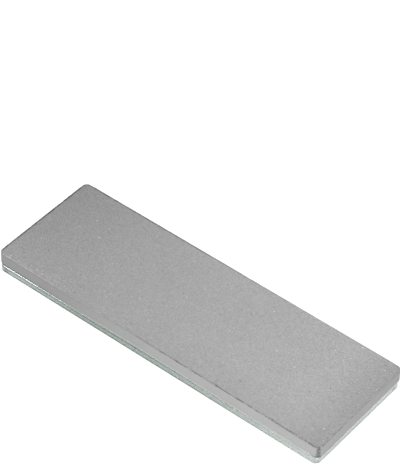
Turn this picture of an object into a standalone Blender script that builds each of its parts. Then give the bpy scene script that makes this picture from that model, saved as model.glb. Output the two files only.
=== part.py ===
"""Glass-backed sharpening whetstone: a fired abrasive slab bonded to a clear glass backing plate.

Units are metres and +Z is up. The origin is the bottom centre of the stone, on the glass plate's
underside. X runs along the stone's length and Y across its width. The layers are stacked from the
bench up: glass_plate, bond_layer, abrasive_slab.
"""

import math

import bmesh
import bpy

# The stone in plan
STONE_LENGTH = 0.210
STONE_WIDTH = 0.070

# The layers, from the bench up
GLASS_THICKNESS = 0.0050
BOND_THICKNESS = 0.0003
SLAB_THICKNESS = 0.0070
LAYER_GAP = 0.0003  # clearance that keeps neighbouring solids apart

# Abrasive slab: moulded with round corners, its edges dubbed so that they don't chip
SLAB_CORNER_RADIUS = 0.0029
SLAB_TOP_EASING = 0.0005
SLAB_BOTTOM_EASING = 0.0002

# Glass plate: a little shorter than the slab and not quite central under it, with ground arrises
GLASS_LENGTH = 0.2093
GLASS_OFFSET_X = -0.00025
GLASS_CORNER_RADIUS = 0.0033
GLASS_TOP_ARRIS = 0.0013
GLASS_BOTTOM_ARRIS = 0.0003

# Bond layer: fills the flat of the glass, inside its top arris
BOND_SETBACK = 0.0002

# Fineness of the curved edges
CORNER_SEGMENTS = 12
EASING_SEGMENTS = 4
ARRIS_SEGMENTS = 1
ROUND_PROFILE = 0.5  # Blender's bevel profile for a circular arc
SHARP_ANGLE = math.radians(35)


def clear_scene():
    for obj in list(bpy.data.objects):
        bpy.data.objects.remove(obj)


def make_material(name, color, roughness, metallic=0.0, transmission=0.0, ior=1.5):
    material = bpy.data.materials.new(name)
    material.use_nodes = True
    shader = material.node_tree.nodes["Principled BSDF"]
    shader.inputs["Base Color"].default_value = (*color, 1.0)
    shader.inputs["Roughness"].default_value = roughness
    shader.inputs["Metallic"].default_value = metallic
    shader.inputs["Transmission Weight"].default_value = transmission
    shader.inputs["IOR"].default_value = ior
    return material


def bevel_edges(bm, edges, width, segments):
    bmesh.ops.bevel(
        bm,
        geom=edges,
        offset=width,
        offset_type="OFFSET",
        segments=segments,
        profile=ROUND_PROFILE,
        affect="EDGES",
    )


def upright_edges(bm):
    """The edges that run between the two flat faces."""
    return [edge for edge in bm.edges if edge.verts[0].co.z != edge.verts[1].co.z]


def rim_edges(bm, top):
    """The outline of the plate's top face, or of its bottom face."""
    heights = [vert.co.z for vert in bm.verts]
    level = max(heights) if top else min(heights)
    return [edge for edge in bm.edges if all(vert.co.z == level for vert in edge.verts)]


def plate_mesh(name, length, width, thickness, corner_radius, top_edge=None, bottom_edge=None):
    """A flat plate centred in plan, from z = 0 up, with its corners rounded in plan.

    top_edge and bottom_edge are each the (width, segments) of the bevel round that face.
    """
    bm = bmesh.new()
    bmesh.ops.create_cube(bm, size=1.0)
    bmesh.ops.translate(bm, verts=bm.verts, vec=(0.0, 0.0, 0.5))
    bmesh.ops.scale(bm, verts=bm.verts, vec=(length, width, thickness))
    bevel_edges(bm, upright_edges(bm), corner_radius, CORNER_SEGMENTS)
    if top_edge:
        bevel_edges(bm, rim_edges(bm, top=True), *top_edge)
    if bottom_edge:
        bevel_edges(bm, rim_edges(bm, top=False), *bottom_edge)
    bmesh.ops.recalc_face_normals(bm, faces=bm.faces)

    mesh = bpy.data.meshes.new(name)
    bm.to_mesh(mesh)
    bm.free()
    mesh.shade_smooth()
    mesh.set_sharp_from_angle(angle=SHARP_ANGLE)
    return mesh


def add_layer(name, mesh, offset_x, bottom, material, collection, parent):
    """Places a layer along X, with its underside at the height bottom."""
    layer = bpy.data.objects.new(name, mesh)
    layer.location = (offset_x, 0.0, bottom)
    layer.parent = parent
    mesh.materials.append(material)
    collection.objects.link(layer)
    return layer


def add_glass_plate(collection, parent):
    mesh = plate_mesh(
        "glass_plate",
        GLASS_LENGTH,
        STONE_WIDTH,
        GLASS_THICKNESS,
        GLASS_CORNER_RADIUS,
        top_edge=(GLASS_TOP_ARRIS, ARRIS_SEGMENTS),
        bottom_edge=(GLASS_BOTTOM_ARRIS, ARRIS_SEGMENTS),
    )
    glass = make_material("float_glass", (0.80, 0.92, 0.86), 0.03, transmission=1.0, ior=1.52)
    return add_layer("glass_plate", mesh, GLASS_OFFSET_X, 0.0, glass, collection, parent)


def add_bond_layer(collection, parent):
    inset = GLASS_TOP_ARRIS + BOND_SETBACK
    mesh = plate_mesh(
        "bond_layer",
        GLASS_LENGTH - 2 * inset,
        STONE_WIDTH - 2 * inset,
        BOND_THICKNESS,
        GLASS_CORNER_RADIUS - inset,
    )
    adhesive = make_material("cured_adhesive", (0.78, 0.80, 0.78), 0.45)
    bottom = GLASS_THICKNESS + LAYER_GAP
    return add_layer("bond_layer", mesh, GLASS_OFFSET_X, bottom, adhesive, collection, parent)


def add_abrasive_slab(collection, parent):
    mesh = plate_mesh(
        "abrasive_slab",
        STONE_LENGTH,
        STONE_WIDTH,
        SLAB_THICKNESS,
        SLAB_CORNER_RADIUS,
        top_edge=(SLAB_TOP_EASING, EASING_SEGMENTS),
        bottom_edge=(SLAB_BOTTOM_EASING, ARRIS_SEGMENTS),
    )
    abrasive = make_material("fired_abrasive", (0.36, 0.36, 0.36), 0.85)
    bottom = GLASS_THICKNESS + BOND_THICKNESS + 2 * LAYER_GAP
    return add_layer("abrasive_slab", mesh, 0.0, bottom, abrasive, collection, parent)


def build_whetstone():
    collection = bpy.data.collections.new("sharpening_whetstone")
    bpy.context.scene.collection.children.link(collection)
    stone = bpy.data.objects.new("whetstone_origin", None)
    collection.objects.link(stone)
    add_glass_plate(collection, stone)
    add_bond_layer(collection, stone)
    add_abrasive_slab(collection, stone)


clear_scene()
build_whetstone()
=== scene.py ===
"""Looks of the glass-backed sharpening whetstone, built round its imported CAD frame.

Units are metres and +Z is up. X runs along the stone, the near long side faces -Y and the near end
faces +X. Each layer gets a finely meshed piece that stands for its plain CAD solid: the abrasive
slab with its dubbed and nicked rims, the film of adhesive, and the glass plate with ground arrises.

A stretch is a pair of places along an axis. A mark goes from its first strength to its second
between them, or from nothing to full where no strengths are given.
"""

import math

import bmesh
import bpy
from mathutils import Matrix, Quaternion, Vector, noise


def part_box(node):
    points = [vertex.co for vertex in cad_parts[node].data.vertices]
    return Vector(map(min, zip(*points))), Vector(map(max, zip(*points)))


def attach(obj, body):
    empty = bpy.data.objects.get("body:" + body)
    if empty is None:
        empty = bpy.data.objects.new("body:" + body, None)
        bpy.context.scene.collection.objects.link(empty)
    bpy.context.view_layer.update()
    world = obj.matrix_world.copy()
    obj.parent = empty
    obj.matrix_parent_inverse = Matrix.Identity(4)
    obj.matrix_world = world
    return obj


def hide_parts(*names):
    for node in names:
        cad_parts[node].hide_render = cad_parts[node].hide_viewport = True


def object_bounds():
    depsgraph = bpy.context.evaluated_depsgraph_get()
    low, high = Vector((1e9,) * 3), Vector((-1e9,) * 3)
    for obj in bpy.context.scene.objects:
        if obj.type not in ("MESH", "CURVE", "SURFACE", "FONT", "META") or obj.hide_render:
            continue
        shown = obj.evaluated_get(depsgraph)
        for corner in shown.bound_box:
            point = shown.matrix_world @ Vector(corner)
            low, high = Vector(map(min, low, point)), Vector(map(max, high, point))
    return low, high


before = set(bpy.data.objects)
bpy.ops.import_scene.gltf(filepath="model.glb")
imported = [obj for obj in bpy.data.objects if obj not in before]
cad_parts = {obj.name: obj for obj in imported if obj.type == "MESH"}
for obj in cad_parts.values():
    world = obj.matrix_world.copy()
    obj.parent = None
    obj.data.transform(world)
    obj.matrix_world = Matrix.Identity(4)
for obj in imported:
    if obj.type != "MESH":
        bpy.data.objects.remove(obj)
cad_low, cad_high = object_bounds()

MM = 0.001

# Camera
VIEW_AZIMUTH = math.radians(37.38)  # from -Y towards +X
VIEW_ELEVATION = math.radians(44.08)
VIEW_ROLL = math.radians(2.267)
VIEW_DISTANCE = 1.279
VIEW_AIM = Vector((-0.0342, 0.0450, cad_high.z))  # just behind the stone's far edge
LENS_MM = 187.53
SENSOR_MM = 36.0
CLIP_RANGE = (0.01, 50.0)

# Setting
FLOOR_SIZE = 6.0
FLOOR_DROP = 0.2 * MM  # the air between the glass and the floor under it
FLOOR_COLOR = (0.06, 0.06, 0.06, 1.0)
FLOOR_ROUGHNESS = 0.9
FLOOR_GLOW = 1.03  # the floor is a light table
WORLD_GLOW = 0.30
BACKDROP_GLOW = 1.0  # the same world as the camera sees it, behind the floor and through the glass
# Soft lights: azimuth from -Y towards +X and elevation in degrees, distance, side, power in watts
SOFT_LIGHTS = {
    "overhead": (0, 88, 0.65, 0.45, 0.90),
    "right_key": (45, 50, 0.35, 0.34, 0.66),
    "front_fill": (33, 25, 0.35, 0.30, 0.57),
    "end_fill": (66, 12, 0.35, 0.20, 0.22),
    "back_low": (164, 13, 0.35, 0.20, 1.60),
    "arris_glint": (-43.2, 27.1, 0.634, 0.10, 0.95),
}
HARSH_LIGHT = 20.0  # power over area from which a light would only speckle the glass

# How finely the pieces are meshed
RIM_SPACING = 0.45 * MM  # along the rims
SIDE_SPACING = 0.6 * MM  # up the slab's sides
EDGE_SPACING = 0.2 * MM  # up the glass's upright edge
EDGE_MARGIN = 0.1 * MM  # from an easing to the first level of the side
MIN_CORNER_STEPS = 6
TOP_EASING_STEPS = 5
BOTTOM_EASING_STEPS = 3
ARRIS_ROUNDING_STEPS = 2
FACE_RINGS = (0.65 * MM, 0.9 * MM, 1.3 * MM, 1.9 * MM)  # in from the slab's sides
ARRIS_RINGS = (0.1, 0.35, 0.65, 0.9)  # as shares of the way up the wide arris
# The angles in degrees from which an edge is drawn sharp
SHARP_ANGLE = 30
SLAB_SHARP_ANGLE = 40
GLASS_SHARP_ANGLE = 60

# Abrasive slab
SLAB_CORNER_RADIUS = 2.9 * MM
TOP_EASING = 0.55 * MM
TIGHT_RIM = 0.45  # the easing of the far and the back rim, as a share of that elsewhere
TIGHT_RIM_FADE = 4 * MM  # from the end of a round corner to where that share is reached
BOTTOM_EASING = 0.2 * MM
SLAB_CAP_INSET = 2.6 * MM  # where the rings round the rim end and the plain face begins
NICK_DEPTH = 0.25 * MM
NICK_REACH = 0.7 * MM
NICK_SCALE = 420.0  # noise cells per metre
NICK_RANGE = (0.25, 0.75)  # of the noise, from no nick to a full one
FINE_NICK_SCALE = 1500.0
FINE_NICK_RANGE = (0.0, 0.6)
FINE_NICK_SHARE = 0.35
FINE_NICK_SHIFT = Vector((7.0, 3.0, 1.0))  # keeps the two noises apart
SOUND_RIM = 0.3  # the nicks on the far and the back rim, as a share of those elsewhere

# Abrasive: grain and specks
CRYSTAL_SIZE = 0.18 * MM
FACE_GRAIN = 0.82  # lightest to darkest crystal on the worked face, as a share of the tone
SIDE_GRAIN = 0.20
ABRASIVE_TONE = 0.279
ABRASIVE_ROUGHNESS = (0.78, 0.9)
FACE_HUE_DRIFT = 0.015
SIDE_HUE_DRIFT = 0.05
BLOTCH_TONE = (0.985, 1.015)
RELIEF_STRENGTH = 0.35
RELIEF_DEPTH = 0.03 * MM
# Specks of grit: cell size, radius, share of the cells that hold one, tone
GRIT_SPECKS = (
    (4.5 * MM, 0.30 * MM, 0.05, 1.9),
    (2.1 * MM, 0.20 * MM, 0.06, 1.5),
    (6.1 * MM, 0.32 * MM, 0.09, 0.40),
)
SPECK_EDGE = (0.7, 1.3)  # a speck's full core and its outer limit, as shares of its radius

# Noise textures: cells per metre, and the values between which most of a texture lies
BLOTCH_SCALE = 45.0
HUE_SCALE = 110.0
PATCH_SCALE = 420.0
FINE_PATCH_SCALE = 1100.0
SCUFF_SCALE = 700.0
RELIEF_SCALE = 1100.0
CLOUD_SCALE = 180.0
STREAK_SCALE = 250.0
NOISE_RANGE = (0.3, 0.7)
FINE_DETAIL = 3.0  # octaves of the finely broken ones
HUE_DETAIL = 1.0
PATCH_ROUGHNESS = 0.6

# Wear, darkening and painted shade: what each mark multiplies the tone by
# darkening of the rims, borders and corners; on the far and back rims and borders it is painted
# shade, at the corners' feet a painted shadow
DARKENING_AND_SHADE_TONE = 0.06
RUBBED_TONE = 1.6
BRUISED_TONE = 1.35
END_SHADE_TONE = 0.81  # painted shade at the near end of the face
SIDE_SHADE_TONE = 0.91  # painted shade at its front edge, towards the near end
FAR_CORNER_SHADE_TONE = 0.87  # painted shade at its far back corner
FAR_SIDE_SHADE_TONE = 0.82  # painted shade of the sides at the far end

# Wear, darkening and painted shade: where the marks lie and how they are broken up
END_WIDTH = 22 * MM
SIDE_WIDTH = 20 * MM
SIDE_STRETCH = (-60 * MM, 60 * MM)  # along X
FAR_CORNER_STRETCH_X = (-45 * MM, cad_low.x)
FAR_CORNER_STRETCH_Y = (cad_low.y, 25 * MM)
FAR_SIDE_STRETCH = (0.0, -70 * MM)  # along X
BRUISED_STRETCH_X = (-50 * MM, -85 * MM)
BRUISED_STRETCH_Y = (cad_low.y + 8 * MM, cad_low.y + 2 * MM)
SCUFF_RANGE = (0.56, 0.64)  # of the noise that breaks the bruises up
RUBBED_STRETCH = (-40 * MM, -80 * MM)  # along X
RUBBED_RANGE = (0.45, 0.6)
RUBBED_SHARE = (0.2, 1.0)
DARKENING_RANGE = (0.84, 1.10)  # of the sum of a coarse and a fine noise
DARKENING_SHARE = (0.40, 1.25)

# Darkening of the rims, borders and corners, painted shade on the far and back ones and a painted
# shadow at the corners' feet: its strengths and the stretches over which they change
FRONT_RIM_DARKENING = 0.75
FRONT_RIM_STRETCH = (-45 * MM, 20 * MM)  # along X
NEAR_RIM_DARKENING = (0.62, 0.26)  # at the near corner and away from it
NEAR_RIM_STRETCH = (4 * MM, 32 * MM)  # from that corner
OUTER_TILT = (0.95, 0.6)  # the normal's Z where those rims begin to darken, and where they have
FAR_BORDER = (1.25 * MM, 0.45)  # width, and the share of it that is fully dark
FAR_BORDER_SHADE = (0.8, 1.0)  # painted shade, at the front and at the back
FAR_BORDER_STRETCH = (-45 * MM, 20 * MM)  # along Y
BACK_BORDER = (1.2 * MM, 0.4)
BACK_BORDER_SHADE = (0.08, 0.9)  # painted shade, at the near end and at the far end
BACK_BORDER_STRETCH = (60 * MM, -80 * MM)  # along X
NEAR_CORNER_DARKENING = 0.72
FAR_CORNER_DARKENING = 0.50
BACK_CORNERS_DARKENING = 0.12
CORNER_FALLOFF = 1.5  # how fast the soil fades off an upright corner
CORNER_FOOT_SHADOW = 0.35  # painted shadow of the joint: how much more there is at an upright corner's foot
CORNER_FOOT_HEIGHT = 1.0 * MM
FLANK_DARKENING = 0.15
FLANK_DEPTH = 2.1 * MM
END_FLANK_SHARE = 0.7
END_FLANK_STRETCH = (0.0, 20 * MM)  # along Y
FAR_FLANK_STRETCH = (5 * MM, -50 * MM)  # along X
NEAR_FLANK_SHARE = 1.8
NEAR_FLANK_STRETCH = (65 * MM, 95 * MM)  # along X
PLAIN_CORE = 0.3  # the share of a border that is full where nothing else is said

# Which way a surface faces: the least share that the axis has of its normal
FACING = 0.3
FACING_HALF = 0.5
FACING_SQUARELY = 0.7
FACING_FULLY = 0.8
WORKED_TILT = (0.6, 0.95)  # the normal's Z where the worked face's grain sets in and is full

# Glass plate
GLASS_CORNER_RADIUS = 3.3 * MM
TOP_ARRIS = 1.3 * MM
BOTTOM_ARRIS = 0.2 * MM
ARRIS_ROUNDING = 0.06 * MM
GLASS_CAP_INSET = 2.4 * MM
GLASS_GREEN = (0.26, 0.74, 0.46, 1.0)
GREEN_DENSITY = 5.0
# colour of the painted shade lines on the glass
GLASS_SHADE_LINE_COLOR = (0.28, 0.34, 0.31, 1.0)
GLASS_IOR = 1.52
GLASS_ROUGHNESS = (0.03, 0.30)  # on the polished faces and on the ground edge
ARRIS_GRINDING = 0.56  # how rough the arris is between the two
STREAK_RANGE = (0.35, 0.6)
STREAK_SHARE = (0.97, 1.0)

# Painted shade on the glass, in dark lines at the arris's foot and the lower edge and over the near
# end's arris: its strengths and the stretches over which they change
END_ARRIS_SHADE = (1.0, 0.1)  # at the front and at the back of the near end
END_ARRIS_STRETCH = (-35 * MM, 25 * MM)  # along Y
END_GLASS_SHADE = 0.6
END_GLASS_SHADE_HEIGHT = 1.3 * MM
END_GLASS_SHADE_WIDTH = 1.2 * MM
FOOT_SHADE = (1.0, 0.2)  # along the arris's foot, at the far end and at the near end
FOOT_SHADE_STRETCH = (-50 * MM, 60 * MM)  # along X
FOOT_SHADE_BORDER = (0.6 * MM, 0.4)
FOOT_SHADE_DROP = (0.55 * MM, 0.05 * MM)  # below that foot
FOOT_DROP_STRETCH = (-60 * MM, 20 * MM)  # along X
LOWER_SHADE = (1.0, 0.4)  # along the plate's lower edge
LOWER_SHADE_STRETCH = (10 * MM, 100 * MM)  # along X
LOWER_SHADE_HEIGHT = 0.65 * MM
LOWER_SHADE_BORDER = (0.95 * MM, 0.5)

# Adhesive: it wets both of its neighbours, so that no air shows in the joint
BOND_SETBACK = 0.2 * MM  # of the film's flat part, from the inner edge of the glass's arris
BOND_INSET = 0.08 * MM  # of its fillet's upper edge, from the slab's side
FILLET_INSET = 0.35 * MM  # of its fillet's foot, from the glass's side
FILM_RING = 0.3 * MM  # width of the ring just inside the film's flat edge
WETTING = 0.05 * MM
BOND_MIDDLE = (0.70, 0.765, 0.735, 1.0)
# painted light: the film's colour at its ends, fading in over the two film stretches below
BOND_END_PAINTED_LIGHT = (0.99, 0.99, 0.99, 1.0)
BOND_ROUGHNESS = (0.45, 0.7)
NEAR_FILM_LIGHT_STRETCH = (-30 * MM, 0.9 * cad_high.x)
FAR_FILM_LIGHT_STRETCH = (-60 * MM, cad_low.x)
FILM_CLOUDING = (0.015, 0.0)
# the bare edge's tone: dark adhesive in the joint, in part a painted shadow of the joint
BOND_EDGE_AND_JOINT_SHADE = 0.36
BARE_SHARE = 0.7  # of the overhang past the film's flat part, from the slab's side inwards
BARE_CLOUDING = (0.9, 1.1)
FAR_EDGE_SHADE = (0.2, 1.0)  # painted shade, at the far end and further on
FAR_EDGE_STRETCH = (-90 * MM, -30 * MM)  # along X
END_EDGE_SHADE_AND_LIGHT = (0.3, 1.5)  # painted shade at the front and painted light at the back of the near end
END_EDGE_STRETCH_X = (cad_high.x - 6 * MM, cad_high.x - 2 * MM)
END_EDGE_STRETCH_Y = (-32 * MM, 32 * MM)


# --- Geometry ---


def smoothstep(low, high, value):
    """0 at low and 1 at high, which may be the smaller of the two."""
    share = min(1.0, max(0.0, (value - low) / (high - low)))
    return share * share * (3.0 - 2.0 * share)


def spread_along(value, low, high, to_low, to_high):
    """Maps the value smoothly from one range to another."""
    return to_low + (to_high - to_low) * smoothstep(low, high, value)


def border(distance, width, core=PLAIN_CORE):
    """1 at an edge, and past that share of the width down to 0 at the width."""
    return 1.0 - smoothstep(core * width, width, distance)


def rounded_outline(half_length, half_width, radius, spacing):
    """Points and outward directions round a rectangle with round corners, anticlockwise."""
    outline = []
    arc_steps = max(MIN_CORNER_STEPS, round(radius * math.pi / 2 / spacing))
    for corner, (side_x, side_y) in enumerate(((1, 1), (-1, 1), (-1, -1), (1, -1))):
        centre = Vector((side_x * (half_length - radius), side_y * (half_width - radius)))
        for step in range(arc_steps + 1):
            angle = (corner + step / arc_steps) * math.pi / 2
            outward = Vector((math.cos(angle), math.sin(angle)))
            outline.append((centre + radius * outward, outward))
        straight = 2 * ((half_width if corner % 2 else half_length) - radius)
        straight_steps = max(1, round(straight / spacing))
        start, outward = outline[-1]
        along = Vector((-outward.y, outward.x))
        for step in range(1, straight_steps):
            outline.append((start + along * straight * step / straight_steps, outward))
    return outline


def arc_profile(offset, height, radius, start, end, steps):
    """(offset, height) points on an arc about a centre, its angles in degrees from outwards."""
    points = []
    for step in range(steps + 1):
        angle = math.radians(start + (end - start) * step / steps)
        points.append((offset + radius * math.cos(angle), height + radius * math.sin(angle)))
    return points


def even_steps(start, end, spacing):
    """The levels strictly between start and end, evenly spaced."""
    count = max(1, round(abs(end - start) / spacing))
    return [start + (end - start) * step / count for step in range(1, count)]


def ringed_plate(outline, centre_x, profile):
    """A closed plate: rings round the outline at each (offset, height) of the profile, bottom up,
    and a flat face over the first and the last ring."""
    bm = bmesh.new()
    rings = []
    for offset, height in profile:
        ring = []
        for point, outward in outline:
            place = point + outward * offset
            ring.append(bm.verts.new((centre_x + place.x, place.y, height)))
        rings.append(ring)
    count = len(outline)
    for lower, upper in zip(rings, rings[1:]):
        for index in range(count):
            following = (index + 1) % count
            bm.faces.new((lower[index], lower[following], upper[following], upper[index]))
    bm.faces.new(reversed(rings[0]))
    bm.faces.new(rings[-1])
    return bm


def mesh_object(name, bm, sharp_angle):
    mesh = bpy.data.meshes.new(name)
    bm.to_mesh(mesh)
    bm.free()
    mesh.shade_smooth()
    mesh.set_sharp_from_angle(angle=math.radians(sharp_angle))
    made = bpy.data.objects.new(name, mesh)
    bpy.context.scene.collection.objects.link(made)
    return made


def paint(piece, name, value_at):
    """Stores value_at(place, normal) at each vertex as an attribute that the material reads."""
    attribute = piece.data.attributes.new(name, "FLOAT", "POINT")
    for vertex, stored in zip(piece.data.vertices, attribute.data):
        stored.value = value_at(vertex.co, vertex.normal)


# --- Shader graphs ---


def new_material(name):
    material = bpy.data.materials.new(name)
    material.use_nodes = True
    tree = material.node_tree
    return material, tree, tree.nodes["Principled BSDF"]


def add_node(tree, kind, inputs=None, **settings):
    """Adds a shader node with its settings made and its inputs set or linked."""
    made = tree.nodes.new("ShaderNode" + kind)
    for name, value in settings.items():
        setattr(made, name, value)
    for name, value in (inputs or {}).items():
        feed(tree, made.inputs[name], value)
    return made


def feed(tree, socket, value):
    """Links the socket to another node's output, or sets it to a plain value."""
    if isinstance(value, bpy.types.NodeSocket):
        tree.links.new(value, socket)
    else:
        socket.default_value = value


def maths(tree, operation, first, second=0.0):
    made = add_node(tree, "Math", {0: first, 1: second}, operation=operation)
    return made.outputs[0]


def product(tree, first, *others):
    for other in others:
        first = maths(tree, "MULTIPLY", first, other)
    return first


def mixed(tree, factor, first, second):
    """Blends two colours by the factor, through the Mix node's colour sockets."""
    made = add_node(tree, "Mix", {0: factor, 6: first, 7: second}, data_type="RGBA")
    return made.outputs[2]


def spread(tree, value, low, high, to_low=0.0, to_high=1.0):
    """Maps the value from one range to another, clamped."""
    inputs = {0: value, 1: low, 2: high, 3: to_low, 4: to_high}
    return add_node(tree, "MapRange", inputs).outputs[0]


def noise_value(tree, place, scale, detail=2.0, roughness=0.5):
    inputs = {"Vector": place, "Scale": scale, "Detail": detail, "Roughness": roughness}
    return add_node(tree, "TexNoise", inputs).outputs["Fac"]


def coordinate(tree, place, axis):
    return add_node(tree, "SeparateXYZ", {"Vector": place}).outputs[axis]


def stretch(tree, place, axis, start, end):
    """0 where a stretch along the axis starts and 1 where it ends, which may be a lower place."""
    return spread(tree, coordinate(tree, place, axis), start, end)


def painted(tree, name):
    return add_node(tree, "Attribute", attribute_name=name).outputs["Fac"]


def red(tree, color):
    return add_node(tree, "SeparateColor", {"Color": color}).outputs["Red"]


def grey(level):
    return (level, level, level, 1.0)


# --- Abrasive slab: shape ---


def slab_profile(bottom, top):
    """The slab's section, from the middle of its underside round to the middle of its top."""
    profile = [(-SLAB_CAP_INSET, bottom), (-2 * BOTTOM_EASING, bottom)]
    centre = bottom + BOTTOM_EASING
    profile += arc_profile(-BOTTOM_EASING, centre, BOTTOM_EASING, -90, 0, BOTTOM_EASING_STEPS)
    high = top - TOP_EASING
    first, last = profile[-1][1] + EDGE_MARGIN, high - EDGE_MARGIN
    profile += [(0.0, level) for level in (first, *even_steps(first, last, SIDE_SPACING), last)]
    profile += arc_profile(-TOP_EASING, high, TOP_EASING, 0, 90, TOP_EASING_STEPS)
    profile += [(-inset, top) for inset in FACE_RINGS]
    profile += [(-SLAB_CAP_INSET, top)]
    return profile


def tighten_rims(bm, half_length, half_width, top):
    """Tightens the easing of the far and the back rim, which are less worn, on their straights."""
    reach = 1.01 * TOP_EASING  # just past the easing
    for vert in bm.verts:
        drop = top - vert.co.z
        end_inset = half_length + vert.co.x
        back_inset = half_width - vert.co.y
        if drop > reach or min(end_inset, back_inset) > reach:
            continue
        at_end = end_inset < back_inset
        straight_end = (half_width if at_end else half_length) - SLAB_CORNER_RADIUS
        past = straight_end - abs(vert.co.y if at_end else vert.co.x)
        share = spread_along(past, 0.0, TIGHT_RIM_FADE, 1.0, TIGHT_RIM)
        vert.co.z = top - share * drop
        if at_end:
            vert.co.x = share * end_inset - half_length
        else:
            vert.co.y = half_width - share * back_inset


def nick_depth(place):
    """How far the rim is nicked at a place: mostly none, with a bite here and there."""
    coarse = noise.noise(place * NICK_SCALE)
    fine = noise.noise(place * FINE_NICK_SCALE + FINE_NICK_SHIFT)
    fine_share = FINE_NICK_SHARE * smoothstep(*FINE_NICK_RANGE, fine)
    return NICK_DEPTH * (smoothstep(*NICK_RANGE, coarse) + fine_share)


def nick_rim(bm, half_length, half_width, top):
    """Bites small nicks out of the slab's top rim."""
    for vert in bm.verts:
        side = min(half_length - abs(vert.co.x), half_width - abs(vert.co.y))
        weight = 1.0 - smoothstep(0.0, NICK_REACH, math.hypot(side, top - vert.co.z))
        if weight == 0.0:
            continue
        sound = vert.co.x < NICK_REACH - half_length or vert.co.y > half_width - NICK_REACH
        depth = weight * nick_depth(vert.co) * (SOUND_RIM if sound else 1.0)
        vert.co.z -= depth
        if half_length - abs(vert.co.x) < NICK_REACH:
            vert.co.x -= math.copysign(depth, vert.co.x)
        if half_width - abs(vert.co.y) < NICK_REACH:
            vert.co.y -= math.copysign(depth, vert.co.y)


# --- Abrasive slab: wear, darkening and painted shade ---


def rim_slope(place, normal, top):
    """1 where the top rim slopes at 45 degrees, down to 0 on the face and on the sides."""
    if place.z < top - 3 * TOP_EASING:
        return 0.0
    return 2.0 * abs(normal.z) * math.sqrt(max(0.0, 1.0 - normal.z**2))


def corner_closeness(normal):
    """1 half way round an upright corner, down to 0 on the sides."""
    return (4.0 * (normal.x * normal.y) ** 2) ** CORNER_FALLOFF


def paint_wear_and_shade(slab, half_length, half_width, bottom, top):
    """Marks where the slab is darkened, in part as painted shade, and rubbed light, and its worked
    face.
    """
    near_corner = Vector((half_length, -half_width))

    def darkened_rim_and_shade(place, normal):
        """Dark along the near half of the front and round the near corner, faint on the near end,
        and full on the face's side of the other two rims, where the dark is painted shade."""
        rim = rim_slope(place, normal, top)
        outer = math.sqrt(rim) * smoothstep(*OUTER_TILT, normal.z)
        if normal.y < -FACING:
            return FRONT_RIM_DARKENING * outer * smoothstep(*FRONT_RIM_STRETCH, place.x)
        if normal.x > FACING:
            from_corner = (place.xy - near_corner).length
            return outer * spread_along(from_corner, *NEAR_RIM_STRETCH, *NEAR_RIM_DARKENING)
        return 0.0 if normal.z < FACING else rim

    def painted_shade_border(place):
        """Painted shade: the far end's border is dark all along, the back's mostly at its far half.
        """
        if place.z < top - TOP_EASING:
            return 0.0
        far = border(half_length + place.x, *FAR_BORDER)
        far *= spread_along(place.y, *FAR_BORDER_STRETCH, *FAR_BORDER_SHADE)
        back = border(half_width - place.y, *BACK_BORDER)
        back *= spread_along(place.x, *BACK_BORDER_STRETCH, *BACK_BORDER_SHADE)
        return max(far, back)

    def darkened_corner_and_foot_shadow(place, normal):
        """Dark down the upright corners, most of all at the near one, and a painted shadow of the
        joint towards the foot.
        """
        if place.y < 0.0:
            share = NEAR_CORNER_DARKENING if place.x > 0.0 else FAR_CORNER_DARKENING
        else:
            share = BACK_CORNERS_DARKENING
        foot = 1.0 + CORNER_FOOT_SHADOW * border(place.z - bottom, CORNER_FOOT_HEIGHT)
        return share * foot * corner_closeness(normal)

    def darkened_flank(place, normal):
        """Faint just under the rim: at the front's two ends and the near end's back half."""
        share = 0.0
        if normal.z > FACING:
            return share
        if normal.x > FACING_SQUARELY:
            share = END_FLANK_SHARE * smoothstep(*END_FLANK_STRETCH, place.y)
        elif normal.y < -FACING_SQUARELY:
            far = smoothstep(*FAR_FLANK_STRETCH, place.x)
            near = NEAR_FLANK_SHARE * smoothstep(*NEAR_FLANK_STRETCH, place.x)
            share = max(far, near)
        return FLANK_DARKENING * share * border(top - place.z, FLANK_DEPTH)

    def darkening_and_painted_shade(place, normal):
        marks = darkened_rim_and_shade(place, normal), painted_shade_border(place), darkened_corner_and_foot_shadow(place, normal)
        return max(*marks, darkened_flank(place, normal))

    def rubbed(place, normal):
        if normal.y > -FACING:
            return 0.0
        return rim_slope(place, normal, top) * smoothstep(*RUBBED_STRETCH, place.x)

    def worked(place, normal):
        return smoothstep(*WORKED_TILT, normal.z)

    paint(slab, "darkening_and_painted_shade", darkening_and_painted_shade)
    paint(slab, "rubbed", rubbed)
    paint(slab, "worked", worked)


# --- Abrasive slab: material ---


def times(tree, tone, mask, factor):
    """Multiplies the tone by the factor where the mask is 1."""
    return product(tree, tone, spread(tree, mask, 0.0, 1.0, 1.0, factor))


def speck_mask(tree, place, pitch, radius, share):
    """1 inside small round specks seen from above, in that share of the cells of the pitch."""
    inputs = {"Vector": place, "Scale": 1.0 / pitch}
    cells = add_node(tree, "TexVoronoi", inputs, voronoi_dimensions="2D")
    chosen = maths(tree, "GREATER_THAN", red(tree, cells.outputs["Color"]), 1.0 - share)
    core, rim = (edge * radius / pitch for edge in SPECK_EDGE)
    return product(tree, chosen, spread(tree, cells.outputs["Distance"], core, rim, 1.0, 0.0))


def grain_tone(tree, crystal, worked):
    """Crystals lighter and darker than the matrix, plainest on the worked face."""
    contrast = spread(tree, worked, 0.0, 1.0, SIDE_GRAIN, FACE_GRAIN)
    centred = maths(tree, "SUBTRACT", crystal, 0.5)
    return maths(tree, "ADD", product(tree, centred, contrast), 1.0)


def specked(tree, place, tone, worked):
    """Adds sparse light and dark specks of grit to the worked face."""
    for pitch, radius, share, factor in GRIT_SPECKS:
        mask = speck_mask(tree, place, pitch, radius, share)
        tone = times(tree, tone, product(tree, mask, worked), factor)
    return tone


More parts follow.
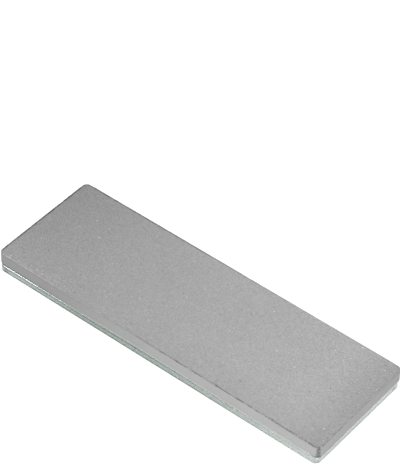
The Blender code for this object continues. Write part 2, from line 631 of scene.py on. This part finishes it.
def worn(tree, place, tone, patchy, worked):
    """Darkens the rims, borders and corners, in part as painted shade, and lightens the rubbed and
    the bruised ones.
    """
    fine = noise_value(tree, place, FINE_PATCH_SCALE)
    patches = spread(tree, maths(tree, "ADD", patchy, fine), *DARKENING_RANGE, *DARKENING_SHARE)
    # the darkening, which is painted shade on the far and back rims and borders and at the corners'
    # feet
    tone = times(tree, tone, product(tree, painted(tree, "darkening_and_painted_shade"), patches), DARKENING_AND_SHADE_TONE)
    streaks = spread(tree, patchy, *RUBBED_RANGE, *RUBBED_SHARE)
    tone = times(tree, tone, product(tree, streaks, painted(tree, "rubbed")), RUBBED_TONE)
    scuffs = noise_value(tree, place, SCUFF_SCALE, FINE_DETAIL)
    scuffs = spread(tree, scuffs, *SCUFF_RANGE)
    bruises = product(tree, scuffs, bruised_corner(tree, place), worked)
    return times(tree, tone, bruises, BRUISED_TONE)


def bruised_corner(tree, place):
    """1 on the face's front border towards the far end, down to 0 some way in."""
    along = stretch(tree, place, "X", *BRUISED_STRETCH_X)
    return product(tree, along, stretch(tree, place, "Y", *BRUISED_STRETCH_Y))


def end_border(tree, place):
    """1 at the near end of the face, down to 0 a little way in: where its painted shade lies."""
    return stretch(tree, place, "X", cad_high.x - END_WIDTH, cad_high.x)


def side_border(tree, place):
    """1 at the front edge of the face towards the near end, down to 0 some way in: where its
    painted shade lies.
    """
    along = stretch(tree, place, "X", *SIDE_STRETCH)
    return product(tree, along, stretch(tree, place, "Y", cad_low.y + SIDE_WIDTH, cad_low.y))


def far_corner(tree, place):
    """1 at the far back corner of the face, down to 0 across it: where its painted shade lies."""
    along = stretch(tree, place, "X", *FAR_CORNER_STRETCH_X)
    return product(tree, along, stretch(tree, place, "Y", *FAR_CORNER_STRETCH_Y))


def painted_shade_regions(tree, place, tone, worked):
    """Painted shade: darkens the worked face towards its near end, its front and its far back
    corner, and the sides towards the far end."""
    regions = (
        (end_border(tree, place), END_SHADE_TONE),
        (side_border(tree, place), SIDE_SHADE_TONE),
        (far_corner(tree, place), FAR_CORNER_SHADE_TONE),
    )
    for mask, factor in regions:
        tone = times(tree, tone, product(tree, mask, worked), factor)
    sides = maths(tree, "SUBTRACT", 1.0, worked)
    far_sides = product(tree, stretch(tree, place, "X", *FAR_SIDE_STRETCH), sides)
    return times(tree, tone, far_sides, FAR_SIDE_SHADE_TONE)


def tinted(tree, place, tone, drift):
    """The grey tone as a colour, a trace warmer and cooler from place to place."""
    inputs = {"Vector": place, "Scale": HUE_SCALE, "Detail": HUE_DETAIL}
    hue = add_node(tree, "TexNoise", inputs)
    offset = add_node(tree, "VectorMath", {0: hue.outputs["Color"]}, operation="SUBTRACT")
    offset.inputs[1].default_value = (0.5, 0.5, 0.5)
    slight = add_node(tree, "VectorMath", {0: offset.outputs[0]}, operation="SCALE")
    feed(tree, slight.inputs["Scale"], drift)
    shade = add_node(tree, "VectorMath", {0: slight.outputs[0]}, operation="ADD")
    shade.inputs[1].default_value = (1.0, 1.0, 1.0)
    scaled = add_node(tree, "VectorMath", {0: shade.outputs[0]}, operation="SCALE")
    feed(tree, scaled.inputs["Scale"], tone)
    return scaled.outputs[0]


def add_relief(tree, shader, place, crystal):
    """Roughens the surface with the crystals and with a finer noise."""
    height = maths(tree, "ADD", crystal, noise_value(tree, place, RELIEF_SCALE, FINE_DETAIL))
    inputs = {"Height": height, "Strength": RELIEF_STRENGTH, "Distance": RELIEF_DEPTH}
    bump = add_node(tree, "Bump", inputs)
    feed(tree, shader.inputs["Normal"], bump.outputs["Normal"])


def abrasive_material():
    """Fine grey grit: crystals lighter and darker than the matrix, sparse specks, worn rims,
    darkened rims and corners, and painted shade.
    """
    material, tree, shader = new_material("fired_abrasive")
    place = add_node(tree, "TexCoord").outputs["Object"]
    worked = painted(tree, "worked")
    crystals = add_node(tree, "TexVoronoi", {"Vector": place, "Scale": 1.0 / CRYSTAL_SIZE})
    crystal = red(tree, crystals.outputs["Color"])
    patchy = noise_value(tree, place, PATCH_SCALE, FINE_DETAIL, PATCH_ROUGHNESS)
    blotch = spread(tree, noise_value(tree, place, BLOTCH_SCALE), *NOISE_RANGE, *BLOTCH_TONE)
    tone = product(tree, grain_tone(tree, crystal, worked), blotch)
    tone = specked(tree, place, tone, worked)
    tone = worn(tree, place, tone, patchy, worked)
    # painted shade across the worked face and the far sides
    tone = product(tree, painted_shade_regions(tree, place, tone, worked), ABRASIVE_TONE)
    drift = spread(tree, worked, 0.0, 1.0, SIDE_HUE_DRIFT, FACE_HUE_DRIFT)
    feed(tree, shader.inputs["Base Color"], tinted(tree, place, tone, drift))
    roughness = spread(tree, patchy, *NOISE_RANGE, *ABRASIVE_ROUGHNESS)
    feed(tree, shader.inputs["Roughness"], roughness)
    add_relief(tree, shader, place, crystal)
    return material


def build_slab():
    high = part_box("abrasive_slab")[1]
    bond_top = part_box("bond_layer")[1].z
    outline = rounded_outline(high.x, high.y, SLAB_CORNER_RADIUS, RIM_SPACING)
    bm = ringed_plate(outline, 0.0, slab_profile(bond_top, high.z))
    tighten_rims(bm, high.x, high.y, high.z)
    nick_rim(bm, high.x, high.y, high.z)
    slab = mesh_object("slab_body", bm, SLAB_SHARP_ANGLE)
    paint_wear_and_shade(slab, high.x, high.y, bond_top, high.z)
    slab.data.materials.append(abrasive_material())
    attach(slab, "root")
    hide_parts("abrasive_slab")
    return slab


# --- Adhesive ---


def bond_material():
    """Pale adhesive seen through the glass, clouded, with painted light making it palest at the
    ends, grey at its bare edge, in part a painted shadow of the joint.
    """
    material, tree, shader = new_material("cured_adhesive")
    place = add_node(tree, "TexCoord").outputs["Object"]
    cloud = noise_value(tree, place, CLOUD_SCALE, FINE_DETAIL)
    # painted light, paler towards the ends
    near = stretch(tree, place, "X", *NEAR_FILM_LIGHT_STRETCH)
    far = stretch(tree, place, "X", *FAR_FILM_LIGHT_STRETCH)
    film = mixed(tree, maths(tree, "MAXIMUM", near, far), BOND_MIDDLE, BOND_END_PAINTED_LIGHT)
    film = mixed(tree, spread(tree, cloud, *NOISE_RANGE, *FILM_CLOUDING), film, grey(0.0))
    # dark bare edge, in part painted joint shadow; painted shade at the far end, painted shade and
    # light at the near end
    edge = product(tree, spread(tree, cloud, *NOISE_RANGE, *BARE_CLOUDING), BOND_EDGE_AND_JOINT_SHADE)
    along = coordinate(tree, place, "X")
    edge = product(tree, edge, spread(tree, along, *FAR_EDGE_STRETCH, *FAR_EDGE_SHADE))
    across = coordinate(tree, place, "Y")
    end_share = spread(tree, across, *END_EDGE_STRETCH_Y, *END_EDGE_SHADE_AND_LIGHT)
    edge = times(tree, edge, spread(tree, along, *END_EDGE_STRETCH_X), end_share)
    color = mixed(tree, painted(tree, "bare_edge"), film, edge)
    feed(tree, shader.inputs["Base Color"], color)
    feed(tree, shader.inputs["Roughness"], spread(tree, cloud, *NOISE_RANGE, *BOND_ROUGHNESS))
    return material


def build_bond():
    """The film, and its fillet between the slab's lower edge and the glass's arris."""
    low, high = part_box("bond_layer")
    slab_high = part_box("abrasive_slab")[1]
    glass_low, glass_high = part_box("glass_plate")
    outline = rounded_outline(slab_high.x, slab_high.y, SLAB_CORNER_RADIUS, 2 * RIM_SPACING)
    bottom, top = low.z - WETTING, high.z + WETTING
    overhang = TOP_ARRIS + BOND_SETBACK
    foot = bottom - TOP_ARRIS + FILLET_INSET
    profile = [(-overhang - FILM_RING, bottom), (-TOP_ARRIS, bottom), (-FILLET_INSET, foot)]
    profile += [(-BOND_INSET, low.z), (-BOND_INSET, top), (-overhang, top)]
    bm = ringed_plate(outline, 0.0, profile)
    scale = (glass_high.x - glass_low.x) / (2 * slab_high.x)
    for vert in bm.verts:
        if vert.co.z <= bottom:  # lies on the glass, so it follows the glass's outline
            vert.co.x = vert.co.x * scale + (glass_high.x + glass_low.x) / 2
    bond = mesh_object("adhesive_film", bm, SHARP_ANGLE)

    def bare_edge(place, normal):
        inside = min(slab_high.x - abs(place.x), slab_high.y - abs(place.y))
        return 1.0 if inside < BARE_SHARE * overhang else 0.0

    paint(bond, "bare_edge", bare_edge)
    bond.data.materials.append(bond_material())
    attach(bond, "root")
    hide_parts("bond_layer")
    return bond


# --- Glass plate ---


def glass_profile(bottom, top):
    """The plate's section: flat underside, small arris, upright edge, wide arris, flat top."""
    tight, steps = ARRIS_ROUNDING, ARRIS_ROUNDING_STEPS
    reach = tight * math.tan(math.radians(22.5))  # from an arris's corner to its rounding's end
    profile = [(-GLASS_CAP_INSET, bottom), (-BOTTOM_ARRIS - 4 * tight, bottom)]
    profile += arc_profile(-BOTTOM_ARRIS - reach, bottom + tight, tight, -90, -45, steps)
    profile += arc_profile(-tight, bottom + BOTTOM_ARRIS + reach, tight, -45, 0, steps)
    low, high = profile[-1][1], top - TOP_ARRIS - reach
    profile += [(0.0, level) for level in even_steps(low, high, EDGE_SPACING)]
    profile += arc_profile(-tight, high, tight, 0, 45, steps)
    upper_rounding = arc_profile(-TOP_ARRIS - reach, top - tight, tight, 45, 90, steps)
    start, end = profile[-1], upper_rounding[0]
    for share in ARRIS_RINGS:
        offset = start[0] + share * (end[0] - start[0])
        profile += [(offset, start[1] + share * (end[1] - start[1]))]
    profile += upper_rounding
    profile += [(-TOP_ARRIS - reach - tight, top), (-GLASS_CAP_INSET, top)]
    return profile


def paint_glass(glass, centre_x, inner, arris_foot):
    """Marks the ground edge and arris, and the painted shade along the arris's foot and the lower
    edge.

    inner is the corner of the flat top, measured from the plate's centre.
    """

    def ground(place, normal):
        outside = abs(place.x - centre_x) > inner.x or abs(place.y) > inner.y
        if not outside:
            return 0.0
        return ARRIS_GRINDING if place.z > arris_foot - EDGE_MARGIN else 1.0

    def painted_shade_lines_end(place, normal):
        """Painted shade on the near end, strongest at the front of its arris."""
        if normal.z > FACING:
            return spread_along(place.y, *END_ARRIS_STRETCH, *END_ARRIS_SHADE)
        return END_GLASS_SHADE * border(abs(place.z - END_GLASS_SHADE_HEIGHT), END_GLASS_SHADE_WIDTH)

    def painted_shade_lines(place, normal):
        """Painted shade lines, strongest at the far end, along the arris's foot and the lower edge.
        """
        if normal.x > FACING_HALF:
            return painted_shade_lines_end(place, normal)
        if normal.z > FACING_FULLY:
            return 0.0
        foot_line = arris_foot - spread_along(place.x, *FOOT_DROP_STRETCH, *FOOT_SHADE_DROP)
        foot = border(abs(place.z - foot_line), *FOOT_SHADE_BORDER)
        foot *= spread_along(place.x, *FOOT_SHADE_STRETCH, *FOOT_SHADE)
        lower = border(abs(place.z - LOWER_SHADE_HEIGHT), *LOWER_SHADE_BORDER)
        lower *= spread_along(place.x, *LOWER_SHADE_STRETCH, *LOWER_SHADE)
        return max(foot, lower)

    paint(glass, "ground", ground)
    paint(glass, "painted_shade_lines", painted_shade_lines)


def glass_material():
    """Clear float glass, green along a long path, with a ground edge, a finer arris and painted
    shade lines.
    """
    material, tree, shader = new_material("float_glass")
    place = add_node(tree, "TexCoord").outputs["Object"]
    streaks = noise_value(tree, place, STREAK_SCALE, FINE_DETAIL)
    streaks = spread(tree, streaks, *STREAK_RANGE, *STREAK_SHARE)
    # painted shade lines, broken up by streaks
    shade_lines = product(tree, painted(tree, "painted_shade_lines"), streaks)
    feed(tree, shader.inputs["Base Color"], mixed(tree, shade_lines, grey(1.0), GLASS_SHADE_LINE_COLOR))
    shader.inputs["IOR"].default_value = GLASS_IOR
    shader.inputs["Transmission Weight"].default_value = 1.0
    roughness = spread(tree, painted(tree, "ground"), 0.0, 1.0, *GLASS_ROUGHNESS)
    feed(tree, shader.inputs["Roughness"], roughness)
    absorption = add_node(tree, "VolumeAbsorption")
    absorption.inputs["Color"].default_value = GLASS_GREEN
    absorption.inputs["Density"].default_value = GREEN_DENSITY
    tree.links.new(absorption.outputs[0], tree.nodes["Material Output"].inputs["Volume"])
    return material


def build_glass():
    low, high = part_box("glass_plate")
    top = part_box("bond_layer")[0].z
    half_length = (high.x - low.x) / 2
    centre_x = (high.x + low.x) / 2
    outline = rounded_outline(half_length, high.y, GLASS_CORNER_RADIUS, RIM_SPACING)
    bm = ringed_plate(outline, centre_x, glass_profile(low.z, top))
    glass = mesh_object("glass_backing", bm, GLASS_SHARP_ANGLE)
    inner = Vector((half_length - TOP_ARRIS, high.y - TOP_ARRIS))
    paint_glass(glass, centre_x, inner, top - TOP_ARRIS)
    glass.data.materials.append(glass_material())
    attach(glass, "root")
    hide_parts("glass_plate")
    return glass


# --- Setting ---


def direction(azimuth, elevation):
    """Unit vector towards an azimuth, from -Y towards +X, and an elevation."""
    level = math.cos(elevation)
    return Vector((math.sin(azimuth) * level, -math.cos(azimuth) * level, math.sin(elevation)))


def facing(back):
    """The turn that points a camera's or a light's -Z against the direction back."""
    return (-back).to_track_quat("-Z", "Y")


def add_camera():
    back = direction(VIEW_AZIMUTH, VIEW_ELEVATION)
    data = bpy.data.cameras.new("camera")
    data.lens = LENS_MM
    data.sensor_width = SENSOR_MM
    data.clip_start, data.clip_end = CLIP_RANGE
    camera = bpy.data.objects.new("camera", data)
    camera.location = VIEW_AIM + back * VIEW_DISTANCE
    camera.rotation_mode = "QUATERNION"
    camera.rotation_quaternion = facing(back) @ Quaternion((0.0, 0.0, 1.0), VIEW_ROLL)
    bpy.context.scene.collection.objects.link(camera)
    bpy.context.scene.camera = camera


def add_floor():
    bm = bmesh.new()
    bmesh.ops.create_grid(bm, x_segments=1, y_segments=1, size=FLOOR_SIZE / 2)
    floor = mesh_object("floor", bm, SHARP_ANGLE)
    floor.location.z = cad_low.z - FLOOR_DROP
    material, _, shader = new_material("pale_floor")
    shader.inputs["Base Color"].default_value = FLOOR_COLOR
    shader.inputs["Roughness"].default_value = FLOOR_ROUGHNESS
    shader.inputs["Emission Color"].default_value = grey(1.0)
    shader.inputs["Emission Strength"].default_value = FLOOR_GLOW
    material.cycles.emission_sampling = "NONE"  # so large that it needs no aimed rays
    floor.data.materials.append(material)


def add_soft_light(name, azimuth, elevation, distance, size, power):
    data = bpy.data.lights.new(name, "AREA")
    data.shape = "SQUARE"
    data.size = size
    data.energy = power
    back = direction(math.radians(azimuth), math.radians(elevation))
    light = bpy.data.objects.new(name, data)
    light.location = back * distance
    light.rotation_mode = "QUATERNION"
    light.rotation_quaternion = facing(back)
    light.visible_camera = False
    light.visible_transmission = power / size**2 < HARSH_LIGHT
    bpy.context.scene.collection.objects.link(light)


def add_world():
    """Dim as a light, and white to the camera and through the glass."""
    world = bpy.data.worlds.new("studio")
    world.use_nodes = True
    tree = world.node_tree
    background = tree.nodes["Background"]
    background.inputs["Color"].default_value = grey(1.0)
    path = add_node(tree, "LightPath").outputs
    seen = maths(tree, "MAXIMUM", path["Is Camera Ray"], path["Is Transmission Ray"])
    glow = spread(tree, seen, 0.0, 1.0, WORLD_GLOW, BACKDROP_GLOW)
    feed(tree, background.inputs["Strength"], glow)
    bpy.context.scene.world = world


def set_stage():
    add_camera()
    add_floor()
    add_world()
    for name, light in SOFT_LIGHTS.items():
        add_soft_light(name, *light)
    bpy.context.scene.view_settings.view_transform = "Standard"


set_stage()
build_glass()
build_bond()
build_slab()
